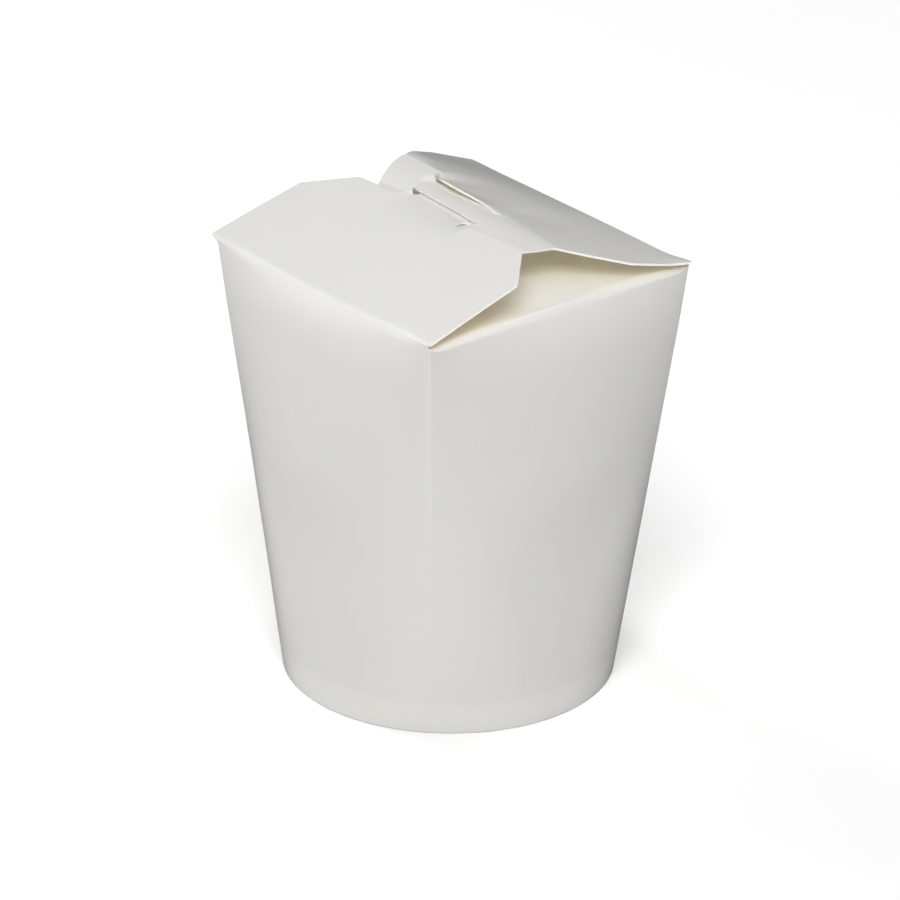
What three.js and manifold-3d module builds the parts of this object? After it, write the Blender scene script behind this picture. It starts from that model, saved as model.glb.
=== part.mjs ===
// A shut noodle takeaway box of white paperboard: round foot, square mouth, four
// folded flaps. Millimetres, +Z up. The origin is the centre of the foot, on the
// surface that the box stands on. The folds of the two main flaps run along X, the
// flap with the tongue in front (-Y), and the open ends of the roof face -X and +X.

import * as THREE from 'three';
import { mergeVertices } from 'three/addons/utils/BufferGeometryUtils.js';
import Module from 'manifold-3d';

// ---- driving sizes ----

const TOP_SIDE = 90; // square mouth, fold to fold
const FOLD_HEIGHT = 121.4; // the side flaps' folds above the table
const FOOT_RADIUS = 45.5;
const BOARD = 0.6; // thickness of the paperboard

const FOLD_RADIUS = 1.8; // outside of every rounded fold
const FOLD_BOW = 0.8; // how far the main folds bow outwards at their middle
const BOW_START = 0.85; // share of the height where a main wall starts to bow
const TIP_START = 20; // from this far along the front fold it rises to its tips
const FOLD_CORNER = 3; // a main fold's height blends into a side fold's over this

const CREASE_END = 0.35; // share of the height where the corner crease has faded out
const CREASE_START = 0.62; // share of the height above which the corner is sharp
const FADED_CREASE = 0.5; // share of the creased form that is left below that
const CORNER_ROUNDING = 0.8; // board taken up by the rounding on each side of a crease

const SIDE_FLAP_SLOPE = 6; // degrees, down towards the middle of the box
const WALL_INSIDE = 43.6; // the main walls' inner face, from the middle

const HEM_DEPTH = 8.3; // turned-in hem round the foot, up to the base
const HEM_THICKNESS = 1.6;
const BASE_GAP = 0.3; // room round the base disc

// How finely the curved faces are divided.
const RING_STEPS = 64; // round the base
const SIDE_STEPS = 6; // along half a side of the wall's outline
const WALL_STEPS = 13; // up the wall, closer together towards the mouth
const FOLD_STEPS = 3; // over a fold
const FRONT_ROWS = 12; // across the front flap, from its fold
const PANEL_ROWS = 5; // across the rear panel
const BRIDGE_ROWS = 3; // from the ridge to the slit
const LIP_ROWS = 4; // from the slit to the lip's free edge
const END_STEPS = 8; // round each end of the lip
const COLUMNS = { left: 5, slit: 5, right: 6 }; // along a flap

const front = {
  slope: 17.5, // degrees at the fold
  foldLevel: 0.6, // start of the flap above FOLD_HEIGHT, at the middle of the fold
  tipLevel: 1.5, // the same at its two ends
  halfWidth: 45.6,
  sideCorner: [45.7, -15.9], // where the side edge turns in
  edgeCorner: [33.6, -5.15], // end of the free edge
  edgeLevel: 12.75, // free edge above FOLD_HEIGHT
  tongueLeft: -16.5,
  tongueRight: 10.5,
  tongueEnd: 8,
  tongueTaper: 1.5, // the tongue narrows by this on each side, past the slit
  bendFade: 4, // the tongue's bend fades out over this to each side of its edges
  dipStart: -14, // from here the tongue bends down towards the slit
  tongueLevel: 11.3, // where it goes into the slit
};

const rear = {
  slope: 18.6, // degrees, at the middle of the ridge
  twist: -0.135, // degrees of slope per mm along X
  foldLevel: 0.6,
  panelLength: 36.6, // from the rounded fold to the ridge
  halfWidth: 45.5,
  sideCorner: [43.3, 28.2],
  ridgeHalf: 32, // half the length of the ridge
  endDepth: 17, // length along X of the quarter ellipse at each end of the lip
  lipEdge: -10, // free edge of the lip, under the front flap
  lipMiddle: [12.45, -0.0635, -0.0004], // level over y = 0, as a quadratic in x
  lipFree: [9.6, 0, -0.0002], // level of the free edge
};

const slit = {
  left: -17,
  right: 10.6,
  width: 0.7,
  ridgeSlit: { left: [-18.5, 8.0], right: [9.6, 9.1] }, // ends of the second slit
  press: 1.9, // how far the tongue presses the lip down in front of the slit
  pressEnd: 2, // length over which the pressing fades out at the slit's ends
};

// ---- small helpers ----

const degrees = THREE.MathUtils.degToRad;
const lerp = THREE.MathUtils.lerp;
const smoothstep = THREE.MathUtils.smoothstep;
const HALF_SIDE = TOP_SIDE / 2;
const SHEET_HALF = 50; // half the width of a flap's sheet before it is cut
const SHEET_MARGIN = 2; // how far its free edge reaches past the outline that cuts it
const CLEARANCE = 5; // how far a cutting body reaches out of what it cuts
const CUTTER_HALF = 30; // half the height of an upright cutting body
const FLAP_ROOT = 0.3; // how far a flap's sheet reaches into its fold
const ROOT_DEPTH = 0.05; // and how far below the rounding it lies
const wasm = await Module();
wasm.setup();

// A closed three.js geometry as a manifold-3d solid.
function toSolid(geometry) {
  const bare = geometry.index ? geometry.toNonIndexed() : geometry.clone();
  bare.deleteAttribute('normal');
  bare.deleteAttribute('uv');
  const merged = mergeVertices(bare, 1e-5);
  const vertProperties = new Float32Array(merged.attributes.position.array);
  const triVerts = new Uint32Array(merged.index.array);
  return new wasm.Manifold(new wasm.Mesh({ numProp: 3, vertProperties, triVerts }));
}

// A manifold-3d solid as a three.js geometry.
function toGeometry(solid) {
  const mesh = solid.getMesh();
  const geometry = new THREE.BufferGeometry();
  geometry.setAttribute('position', new THREE.BufferAttribute(mesh.vertProperties, 3));
  geometry.setIndex(new THREE.BufferAttribute(mesh.triVerts, 1));
  geometry.computeVertexNormals();
  return geometry;
}

// Triangles from a list of points and a list of index triples.
function indexed(points, triangles) {
  const geometry = new THREE.BufferGeometry().setFromPoints(points);
  geometry.setIndex(triangles.flat());
  return geometry;
}

// A quadratic a + b x + c x^2.
function quadratic([a, b, c], x) {
  return a + b * x + c * x * x;
}

// The parabola through three (y, z) pairs.
function throughThree(y, [ya, za], [yb, zb], [yc, zc]) {
  const shareA = ((y - yb) * (y - yc)) / ((ya - yb) * (ya - yc));
  const shareB = ((y - ya) * (y - yc)) / ((yb - ya) * (yb - yc));
  const shareC = ((y - ya) * (y - yb)) / ((yc - ya) * (yc - yb));
  return za * shareA + zb * shareB + zc * shareC;
}

// Evenly spaced numbers, both ends included.
function spaced(first, last, steps) {
  return Array.from({ length: steps + 1 }, (_, i) => lerp(first, last, i / steps));
}

// ---- walls ----

// Half the angle of the arc whose length is `ratio` times its chord.
function arcHalfAngle(ratio) {
  let low = 1e-4;
  let high = Math.PI / 4;
  for (let i = 0; i < 40; i += 1) {
    const middle = (low + high) / 2;
    if (middle / Math.sin(middle) < ratio) low = middle;
    else high = middle;
  }
  return (low + high) / 2;
}

// The creased form of half a side at a share of the height: an arc from the middle of
// the side to the corner, as a function of the share of its length.
function creasedSide(share, halfLength) {
  const corner = lerp(FOOT_RADIUS / Math.SQRT2, HALF_SIDE, share);
  const angle = arcHalfAngle(halfLength / corner);
  const radius = corner / Math.sin(angle);
  const centre = corner - radius * Math.cos(angle);
  return (part) => {
    const turn = part * angle;
    return new THREE.Vector2(centre + radius * Math.cos(turn), radius * Math.sin(turn));
  };
}

// The round form of it: a flat middle and a round corner, as on a smooth cone between
// the circle of the foot and the square of the mouth.
function roundSide(share, halfLength) {
  const flat = HALF_SIDE * share;
  const radius = FOOT_RADIUS * (1 - share);
  return (part) => {
    const along = part * halfLength;
    if (along <= flat) return new THREE.Vector2(flat + radius, along);
    const turn = (along - flat) / radius;
    return new THREE.Vector2(flat + radius * Math.cos(turn), flat + radius * Math.sin(turn));
  };
}

// One quarter of the wall's outline at a share of the height, from the middle of the
// +X side round the corner to just before the middle of the +Y side. The board cannot
// stretch, so the girth and the corner's distance from the axis change evenly from the
// circle of the foot to the square of the mouth, and both forms of a side keep to it.
function quarterOutline(share) {
  const halfLength = lerp((Math.PI * FOOT_RADIUS) / 4, HALF_SIDE, share);
  const creased = creasedSide(share, halfLength);
  const round = roundSide(share, halfLength);
  const crease = lerp(FADED_CREASE, 1, smoothstep(share, CREASE_END, CREASE_START));
  const parts = spaced(0, 1 - CORNER_ROUNDING / halfLength, SIDE_STEPS);
  const half = parts.map((part) => round(part).lerp(creased(part), crease));
  const mirrored = half.slice(1).reverse();
  return [...half, ...mirrored.map((p) => new THREE.Vector2(p.y, p.x))];
}

// How far a point of the top edge belongs to a main fold (1) or a side fold (0).
function mainShare(x, y) {
  return smoothstep(Math.abs(y) - Math.abs(x), -FOLD_CORNER, FOLD_CORNER);
}

// Centre of a main fold's rounding at x, above the side folds' centre.
function foldLift(x, isFront) {
  const flap = isFront ? front : rear;
  const level = isFront ? frontFoldLevel(x) : rear.foldLevel;
  return level + FOLD_RADIUS * (1 - Math.cos(degrees(flap.slope)));
}

// How far a main fold stands out beyond the mouth's side at x.
function foldBow(x) {
  return FOLD_BOW * Math.max(0, 1 - (x / HALF_SIDE) ** 2);
}

// The whole outline at a share of the height. Near the top the main sides bow
// outwards and rise to their folds; inset draws the ring in over the rounding.
function wallRing(share, height, inset = 0) {
  const quarter = quarterOutline(share);
  const scale = (HALF_SIDE - inset) / HALF_SIDE;
  const nearTop = smoothstep(share, BOW_START, 1);
  const ring = [];
  for (let side = 0; side < 4; side += 1) {
    for (const point of quarter) {
      const turned = point.clone().rotateAround(new THREE.Vector2(), (side * Math.PI) / 2);
      const rise = mainShare(turned.x, turned.y) * nearTop;
      const y = turned.y * scale + Math.sign(turned.y) * foldBow(turned.x) * rise;
      const z = height + foldLift(turned.x, turned.y < 0) * rise;
      ring.push(new THREE.Vector3(turned.x * scale, y, z));
    }
  }
  return ring;
}

// A closed body through a stack of rings, with a flat cap on each end.
function loft(rings) {
  const count = rings[0].length;
  const points = rings.flat();
  const triangles = [];
  for (let level = 0; level + 1 < rings.length; level += 1) {
    for (let i = 0; i < count; i += 1) {
      const a = level * count + i;
      const b = level * count + ((i + 1) % count);
      triangles.push([a, b, b + count], [a, b + count, a + count]);
    }
  }
  const bottom = points.length;
  points.push(new THREE.Vector3(0, 0, rings[0][0].z));
  points.push(new THREE.Vector3(0, 0, rings[rings.length - 1][0].z));
  const lastRing = (rings.length - 1) * count;
  for (let i = 0; i < count; i += 1) {
    const next = (i + 1) % count;
    triangles.push([bottom, next, i], [bottom + 1, lastRing + i, lastRing + next]);
  }
  return indexed(points, triangles);
}

// The walls, filled, with the folds rounded over at the top.
function filledWalls() {
  const wallTop = FOLD_HEIGHT - FOLD_RADIUS;
  const rings = [];
  for (let i = 0; i <= WALL_STEPS; i += 1) {
    const share = 1 - (1 - i / WALL_STEPS) ** 2;
    rings.push(wallRing(share, share * wallTop));
  }
  for (let i = 1; i <= FOLD_STEPS; i += 1) {
    const turn = (i / FOLD_STEPS) * (Math.PI / 2);
    const inset = FOLD_RADIUS * (1 - Math.cos(turn));
    rings.push(wallRing(1, wallTop + FOLD_RADIUS * Math.sin(turn), inset));
  }
  return toSolid(loft(rings));
}

// The space above the two side flaps, which slope down to the middle of the box.
function spaceOverSideFlaps() {
  const edge = HALF_SIDE - FOLD_RADIUS;
  const sag = edge * Math.tan(degrees(SIDE_FLAP_SLOPE));
  const shape = new THREE.Shape();
  shape.moveTo(-edge, FOLD_HEIGHT);
  shape.lineTo(0, FOLD_HEIGHT - sag);
  shape.lineTo(edge, FOLD_HEIGHT);
  shape.lineTo(edge, FOLD_HEIGHT + CLEARANCE);
  shape.lineTo(-edge, FOLD_HEIGHT + CLEARANCE);
  const prism = new THREE.ExtrudeGeometry(shape, { depth: 2 * WALL_INSIDE, bevelEnabled: false });
  prism.rotateX(Math.PI / 2);
  prism.translate(0, WALL_INSIDE, 0);
  return toSolid(prism);
}

// The shallow round hollow under the base, inside the hem of the foot.
function hollowUnderBase() {
  const radius = FOOT_RADIUS - HEM_THICKNESS;
  const height = HEM_DEPTH + CLEARANCE;
  const hollow = new THREE.CylinderGeometry(radius, radius, height, RING_STEPS);
  hollow.rotateX(Math.PI / 2);
  hollow.translate(0, 0, HEM_DEPTH - height / 2);
  return toSolid(hollow);
}

// ---- flaps ----

// A sheet of board as a closed body: a grid of points on its upper face, one row for
// each station, and the same grid one board lower along the surface's normals. A
// station gives the (y, height) of its row at x.
function sheet(columns, stations) {
  const upper = stations.map((station) =>
    columns.map((x) => new THREE.Vector3(x, ...station(x))));
  const lastRow = stations.length - 1;
  const lastColumn = columns.length - 1;
  const lower = upper.map((row, j) => row.map((point, i) => {
    const before = upper[j][Math.max(0, i - 1)];
    const after = upper[j][Math.min(lastColumn, i + 1)];
    const behind = upper[Math.max(0, j - 1)][i];
    const ahead = upper[Math.min(lastRow, j + 1)][i];
    const along = after.clone().sub(before);
    const normal = along.cross(ahead.clone().sub(behind)).normalize();
    return point.clone().addScaledVector(normal, -BOARD);
  }));
  return indexed([...upper.flat(), ...lower.flat()], sheetTriangles(lastColumn, lastRow));
}

// The faces of such a sheet: both sides of the grid and the edge all round.
function sheetTriangles(stepsU, stepsV) {
  const row = stepsU + 1;
  const total = row * (stepsV + 1);
  const triangles = [];
  for (let j = 0; j < stepsV; j += 1) {
    for (let i = 0; i < stepsU; i += 1) {
      const a = j * row + i;
      const b = a + 1;
      const c = b + row;
      const d = a + row;
      triangles.push([a, b, c], [a, c, d]);
      triangles.push([total + a, total + c, total + b], [total + a, total + d, total + c]);
    }
  }
  const edge = [];
  for (let i = 0; i < stepsU; i += 1) edge.push(i);
  for (let j = 0; j < stepsV; j += 1) edge.push(j * row + stepsU);
  for (let i = stepsU; i > 0; i -= 1) edge.push(stepsV * row + i);
  for (let j = stepsV; j > 0; j -= 1) edge.push(j * row);
  edge.forEach((a, k) => {
    const b = edge[(k + 1) % edge.length];
    triangles.push([a, total + a, total + b], [a, total + b, b]);
  });
  return triangles;
}

// The columns of a main flap's sheet: closer together where the tongue meets the slit.
function flapColumns() {
  const { left: toLeft, slit: alongSlit, right: toRight } = COLUMNS;
  const left = spaced(-SHEET_HALF, slit.left, toLeft);
  const middle = spaced(slit.left + slit.pressEnd, slit.right - slit.pressEnd, alongSlit);
  const right = spaced(slit.right, SHEET_HALF, toRight);
  return [...left, ...middle, ...right];
}

// Where a main flap leaves its fold at x: (distance from the middle, height). The
// flap is rooted a little below the rounding so that the two merge.
function flapStart(x, level, slope) {
  return [HALF_SIDE + foldBow(x) - FOLD_RADIUS * (1 - Math.sin(slope)), FOLD_HEIGHT + level];
}

// Level of the front flap's fold: its two tips stand a little above its middle.
function frontFoldLevel(x) {
  return lerp(front.foldLevel, front.tipLevel, smoothstep(Math.abs(x), TIP_START, HALF_SIDE));
}

// Height of the front flap over (x, y). The tongue bends down towards the slit.
function frontHeight(x, y) {
  const slope = degrees(front.slope);
  const rise = Math.tan(slope);
  const [out, start] = flapStart(x, frontFoldLevel(x), slope);
  const fullRun = front.edgeCorner[1] + out;
  const loss = start + rise * fullRun - FOLD_HEIGHT - front.edgeLevel;
  const plain = (at) => start + rise * (at + out) - loss * ((at + out) / fullRun) ** 2;
  const bend = Math.max(0, y - front.dipStart) / -front.dipStart;
  const inTongue = smoothstep(x - front.tongueLeft, -front.bendFade, front.bendFade)
    * smoothstep(front.tongueRight - x, -front.bendFade, front.bendFade);
  return plain(y) - (plain(0) - FOLD_HEIGHT - front.tongueLevel) * bend * bend * inTongue;
}

// The front flap's sheet, before its outline is cut.
function frontSheet() {
  const flapY = (x, share) => {
    const [out] = flapStart(x, 0, degrees(front.slope));
    return lerp(-out - FLAP_ROOT, front.tongueEnd + SHEET_MARGIN, share);
  };
  const stations = spaced(0, 1, FRONT_ROWS).map((share) => (x) => {
    const y = flapY(x, share);
    return [y, frontHeight(x, y) - ROOT_DEPTH];
  });
  return toSolid(sheet(flapColumns(), stations));
}

// The front flap's outline in plan, with its tongue.
function frontOutline() {
  const [sideX, sideY] = front.sideCorner;
  const [edgeX, edgeY] = front.edgeCorner;
  const taper = front.tongueTaper;
  const shape = new THREE.Shape();
  shape.moveTo(-front.halfWidth, -HALF_SIDE - CLEARANCE);
  shape.lineTo(front.halfWidth, -HALF_SIDE - CLEARANCE);
  shape.lineTo(sideX, sideY);
  shape.lineTo(edgeX, edgeY);
  shape.lineTo(front.tongueRight - taper, edgeY);
  shape.lineTo(front.tongueRight, -taper);
  shape.lineTo(front.tongueRight - taper, front.tongueEnd);
  shape.lineTo(front.tongueLeft + 2 * taper, front.tongueEnd);
  shape.lineTo(front.tongueLeft + taper, -taper);
  shape.lineTo(front.tongueLeft, edgeY);
  shape.lineTo(-edgeX, edgeY);
  shape.lineTo(-sideX, sideY);
  return shape;
}

// Slope of the rear panel at x: the panel is twisted, higher at its -X end.
function ridgeSlope(x) {
  return degrees(rear.slope + rear.twist * x);
}

// The rear panel's ridge at x, as (y, height).
function ridge(x) {
  const slope = ridgeSlope(x);
  const [out, start] = flapStart(x, rear.foldLevel, slope);
  return [out - rear.panelLength * Math.cos(slope), start + rear.panelLength * Math.sin(slope)];
}

// Height of the lip over (x, y): from the ridge down to its free edge.
function lipHeight(x, y) {
  const middle = [0, FOLD_HEIGHT + quadratic(rear.lipMiddle, x)];
  const free = [rear.lipEdge, FOLD_HEIGHT + quadratic(rear.lipFree, x)];
  const plain = throughThree(y, ridge(x), middle, free);
  if (y > -slit.width / 2) return plain;
  const fromEnd = Math.min(x - slit.left, slit.right - x);
  return plain - slit.press * smoothstep(fromEnd, 0, slit.pressEnd);
}

// The rear flap's sheet, before its outline is cut: panel, bridge and lip.
function rearSheet() {
  const half = slit.width / 2;
  const panel = spaced(0, 1, PANEL_ROWS).map((share) => (x) => {
    const slope = ridgeSlope(x);
    const [out, start] = flapStart(x, rear.foldLevel, slope);
    const root = [out + FLAP_ROOT, start - FLAP_ROOT * Math.tan(slope) - ROOT_DEPTH];
    const [ridgeY, ridgeZ] = ridge(x);
    return [lerp(root[0], ridgeY, share), lerp(root[1], ridgeZ, share)];
  });
  const over = (share, from, to) => (x) => {
    const y = lerp(from ?? ridge(x)[0], to, share);
    return [y, lipHeight(x, y)];
  };
  const bridge = spaced(0, 1, BRIDGE_ROWS).slice(1).map((share) => over(share, null, half));
  const lip = spaced(0, 1, LIP_ROWS).map((share) => over(share, -half, rear.lipEdge - SHEET_MARGIN));
  return toSolid(sheet(flapColumns().reverse(), [...panel, ...bridge, ...lip]));
}

// A slit in plan, as a narrow hole between two points.
function slitHole([startX, startY], [endX, endY]) {
  const half = slit.width / 2;
  const hole = new THREE.Path();
  hole.moveTo(startX, startY - half);
  hole.lineTo(startX, startY + half);
  hole.lineTo(endX, endY + half);
  hole.lineTo(endX, endY - half);
  return hole;
}

// The rear flap's outline in plan, with the slit for the tongue and the ridge slit.
function rearOutline() {
  const [sideX, sideY] = rear.sideCorner;
  const ridgeY = ridge(0)[0];
  const endX = rear.ridgeHalf - rear.endDepth;
  const shape = new THREE.Shape();
  shape.moveTo(rear.halfWidth, HALF_SIDE + CLEARANCE);
  shape.lineTo(-rear.halfWidth, HALF_SIDE + CLEARANCE);
  shape.lineTo(-sideX, sideY);
  shape.lineTo(-rear.ridgeHalf, ridgeY);
  shape.absellipse(-endX, ridgeY, rear.endDepth, ridgeY - rear.lipEdge, Math.PI, 1.5 * Math.PI);
  shape.absellipse(endX, ridgeY, rear.endDepth, ridgeY - rear.lipEdge, 1.5 * Math.PI, 2 * Math.PI);
  shape.lineTo(sideX, sideY);
  shape.holes.push(slitHole([slit.left, 0], [slit.right, 0]));
  shape.holes.push(slitHole(slit.ridgeSlit.left, slit.ridgeSlit.right));
  return shape;
}

// An upright prism over an outline, tall enough to cut a flap's sheet.
function upright(shape) {
  const options = { depth: 2 * CUTTER_HALF, bevelEnabled: false, curveSegments: END_STEPS };
  const prism = new THREE.ExtrudeGeometry(shape, options);
  prism.translate(0, 0, FOLD_HEIGHT - CUTTER_HALF);
  return toSolid(prism);
}

// ---- the two pieces of board ----

function carton() {
  const walls = filledWalls().subtract(spaceOverSideFlaps()).subtract(hollowUnderBase());
  const frontFlap = frontSheet().intersect(upright(frontOutline()));
  const rearFlap = rearSheet().intersect(upright(rearOutline()));
  return toGeometry(walls.add(frontFlap).add(rearFlap));
}

function baseDisc() {
  const radius = FOOT_RADIUS - HEM_THICKNESS - BASE_GAP;
  const disc = new THREE.CylinderGeometry(radius, radius, BOARD, RING_STEPS);
  disc.rotateX(Math.PI / 2);
  disc.translate(0, 0, HEM_DEPTH - BASE_GAP - BOARD / 2);
  return disc;
}

function board(name, geometry, color) {
  const material = new THREE.MeshStandardMaterial({ color, roughness: 0.45, metalness: 0 });
  const mesh = new THREE.Mesh(geometry, material);
  mesh.name = name;
  return mesh;
}

const group = new THREE.Group();
group.add(board('carton', carton(), 0xe4e3de));
group.add(board('base_disc', baseDisc(), 0xe8e6df));

export default group;
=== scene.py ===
"""A shut noodle takeaway box of white paperboard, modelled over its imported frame.

The whole carton is one folded blank: four walls that go from a round foot to a square
mouth, a hem turned in round the foot, two side flaps inside and two main flaps that
close over them, the front one with a tongue that goes through a slit in the rear one.
Shapes are worked out in millimetres and scaled to metres when a mesh is finished.
"""

import logging
import math
from dataclasses import dataclass
from enum import Enum
from functools import cached_property, lru_cache
from typing import Callable, Sequence

import bmesh
import bpy
from bmesh.types import BMesh, BMVert
from bpy.types import ID, Material, Node, NodeSocket, NodeTree, Object
from mathutils import Matrix, Vector, noise


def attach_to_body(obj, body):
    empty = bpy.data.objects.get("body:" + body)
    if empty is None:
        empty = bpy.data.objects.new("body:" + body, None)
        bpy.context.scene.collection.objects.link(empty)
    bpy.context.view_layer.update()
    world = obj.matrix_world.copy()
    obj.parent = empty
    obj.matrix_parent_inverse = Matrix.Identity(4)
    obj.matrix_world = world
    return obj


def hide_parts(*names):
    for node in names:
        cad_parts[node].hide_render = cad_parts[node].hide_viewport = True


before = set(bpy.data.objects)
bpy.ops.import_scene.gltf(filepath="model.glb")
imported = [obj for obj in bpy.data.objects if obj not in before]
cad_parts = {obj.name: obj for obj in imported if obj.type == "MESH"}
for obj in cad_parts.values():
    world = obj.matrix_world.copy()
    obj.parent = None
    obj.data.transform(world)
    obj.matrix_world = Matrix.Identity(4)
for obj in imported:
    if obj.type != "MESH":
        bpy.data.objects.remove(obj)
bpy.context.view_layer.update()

MM = 0.001
CLOSE = 1e-9
LOG = logging.getLogger("noodle_box")

# Material slots of the carton: board that other board covers starts at COVERED. From a
# face's own slot it is one step to its inner side's and two to its cut edge's.
COVERED = 3
INNER_STEP = 1
RIM_STEP = 2

# The flat blank's UV: a wall's share of the width, and the height of a millimetre.
UV_WIDTH = 0.25
UV_HEIGHT = 0.0028

Pair = tuple[float, float]
Point = tuple[float, float, float]
Row = tuple[str, float]
Stops = tuple[float, float, float, float]
Curve = tuple[Pair, ...]
PlacePoint = Callable[[float, int], Point]
# Gives a vertex's painted light and whitening by its place and row.
PlacePaintedLightAndWhitening = Callable[[float, int], float]


class Wall(Enum):
    """The four walls, by the quarter turn from the +X wall to each."""

    RIGHT = 0
    REAR = 1
    LEFT = 2
    FRONT = 3


# ---- small mathematics


def lerp(start: float, end: float, share: float) -> float:
    """The value at a share of the way from start to end."""
    return start + (end - start) * share


def clamp(value: float, low: float = 0.0, high: float = 1.0) -> float:
    """The value, kept between low and high."""
    return max(low, min(high, value))


def smooth(value: float, low: float, high: float) -> float:
    """A soft step from 0 at low to 1 at high."""
    share = clamp((value - low) / (high - low))
    return share * share * (3.0 - 2.0 * share)


def window(value: float, stops: Sequence[float]) -> float:
    """A soft rise from 0 to 1 between two stops, and a fall back between two more."""
    return smooth(value, stops[0], stops[1]) * (1.0 - smooth(value, stops[2], stops[3]))


def soft_min(first: float, second: float, width: float) -> float:
    """The lower of two heights, with the corner between them rounded off.

    Args:
        first: One height.
        second: The other height.
        width: The difference of the heights at which the rounding starts.

    Returns:
        The rounded minimum.
    """
    overlap = max(width - abs(first - second), 0.0) / width
    return min(first, second) - overlap * overlap * width / 4.0


def bezier_weights(share: float, degree: int) -> list[float]:
    """Weights of a Bezier curve's points at a share of the way along it.

    Args:
        share: Share of the way along it.
        degree: Its degree.

    Returns:
        A weight for each point.
    """
    return [
        math.comb(degree, index) * (1.0 - share) ** (degree - index) * share ** index
        for index in range(degree + 1)
    ]


def spaced(start: float, end: float, steps: int) -> list[float]:
    """Evenly spaced numbers from start to end, both included."""
    return [lerp(start, end, index / steps) for index in range(steps + 1)]


def joined(*stretches: Sequence[float]) -> list[float]:
    """Several rising stretches of numbers as one, without the doubled ends.

    Args:
        stretches: The stretches, the lowest first.

    Returns:
        All numbers once.
    """
    result: list[float] = []
    for stretch in stretches:
        result.extend(value for value in stretch if not result or value > result[-1] + CLOSE)
    return result


def through_three(at: float, points: Sequence[Pair]) -> float:
    """The value at a place on the parabola through three (place, value) pairs.

    Args:
        at: The place.
        points: The three pairs.

    Returns:
        The parabola's value there.
    """
    total = 0.0
    for index, (place, value) in enumerate(points):
        for other, (far, _) in enumerate(points):
            if other != index:
                value *= (at - far) / (place - far)
        total += value
    return total


def along_points(at: float, points: Curve) -> float:
    """The value at a place on a smooth curve through rising (place, value) pairs.

    Args:
        at: The place; beyond the first or last pair their value is kept.
        points: The pairs.

    Returns:
        The curve's value there.
    """
    if at <= points[0][0]:
        return points[0][1]
    for index in range(len(points) - 1):
        (start, low), (end, high) = points[index], points[index + 1]
        if at <= end:
            before = points[max(index - 1, 0)]
            after = points[min(index + 2, len(points) - 1)]
            share, span = (at - start) / (end - start), end - start
            rise_in = (high - before[1]) / (end - before[0]) * span
            rise_out = (after[1] - low) / (after[0] - start) * span
            square, cube = share * share, share ** 3
            ends = low * (2 * cube - 3 * square + 1) + high * (3 * square - 2 * cube)
            return ends + rise_in * (cube - 2 * square + share) + rise_out * (cube - square)
    return points[-1][1]


# ---- the form of the box


@dataclass(frozen=True)
class BoxForm:
    """Driving sizes of the carton in millimetres, and the wall's shape from them."""

    side: float = 90.0
    fold_height: float = 121.4
    foot_radius: float = 45.5
    board: float = 0.6
    fold_radius: float = 1.8
    fold_bow: float = 0.8
    bow_start: float = 0.85
    corner_lift: float = 1.3
    corner_start: float = 0.9
    crease_fade: Pair = (0.35, 0.62)
    faded_crease: float = 0.5
    top_bend: float = 0.10
    corner_part: float = 0.018
    foot_rounding: float = 0.4
    waviness: float = 0.09
    wave_length: float = 26.0
    wave_rows: Stops = (0.0, 0.1, 0.9, 1.0)
    seam_place: float = -0.86
    seam_blend: float = 0.04
    seam_step: float = 0.4
    seam_rows: Stops = (0.0, 0.04, 0.93, 1.0)
    hem_depth: float = 8.3
    smallest_turn: float = 1e-5
    bisections: int = 40

    @property
    def half(self) -> float:
        """Half the side of the mouth."""
        return self.side / 2.0

    @property
    def wall_top(self) -> float:
        """Height where a side wall goes over into its fold."""
        return self.fold_height - self.fold_radius

    @lru_cache(maxsize=None)
    def arc(self, share: float) -> Point:
        """The arc of half a creased side at a share of the height.

        Args:
            share: Share of the wall's height.

        Returns:
            The corner's distance along one axis, half the arc's angle, and half the
            length of a side of the blank.
        """
        corner = lerp(self.foot_radius / math.sqrt(2.0), self.half, share)
        length = lerp(math.pi * self.foot_radius / 4.0, self.half, share)
        low, high = self.smallest_turn, math.pi / 4.0
        for _ in range(self.bisections):
            middle = (low + high) / 2.0
            if middle / math.sin(middle) < length / corner:
                low = middle
            else:
                high = middle
        reach = math.sqrt(clamp((1.0 - share) / self.top_bend))
        angle = max(low * reach * (3.0 - reach * reach) / 2.0, self.smallest_turn)
        return corner, angle, length

    def half_side(self, part: float, share: float) -> Pair:
        """A point of half a side of the outline, before its corner is rounded.

        Args:
            part: Share of the way from the side's middle to the corner.
            share: Share of the wall's height.

        Returns:
            The distances outwards and along the side, from the box's axis.
        """
        corner, angle, length = self.arc(share)
        radius = corner / math.sin(angle)
        turn = part * angle
        creased_out = corner + radius * (math.cos(turn) - math.cos(angle))
        creased_along = radius * math.sin(turn)
        flat, round_radius = self.half * share, self.foot_radius * (1.0 - share)
        along = part * length
        round_out = flat + round_radius
        if along > flat and round_radius > 0.0:
            turn = (along - flat) / round_radius
            round_out = flat + round_radius * math.cos(turn)
            along = flat + round_radius * math.sin(turn)
        crease = lerp(self.faded_crease, 1.0, smooth(share, *self.crease_fade))
        return lerp(round_out, creased_out, crease), lerp(along, creased_along, crease)

    def outline(self, place: float, share: float) -> Pair:
        """A point of a whole side, with its corners rounded.

        Args:
            place: From -1 at one corner to 1 at the next.
            share: Share of the wall's height.

        Returns:
            The distances outwards and along the side.
        """
        part, sign = abs(place), math.copysign(1.0, place)
        start = 1.0 - self.corner_part
        if part <= start:
            out, along = self.half_side(part, share)
            return out, sign * along
        begin = self.half_side(start, share)
        knots = (begin[0], self.half_side(1.0, share)[0], begin[1])
        weights = bezier_weights(0.5 * (part - start) / self.corner_part, 2)
        out = sum(weight * knot for weight, knot in zip(weights, knots))
        along = sum(weight * knot for weight, knot in zip(weights, reversed(knots)))
        return out, sign * along


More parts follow.
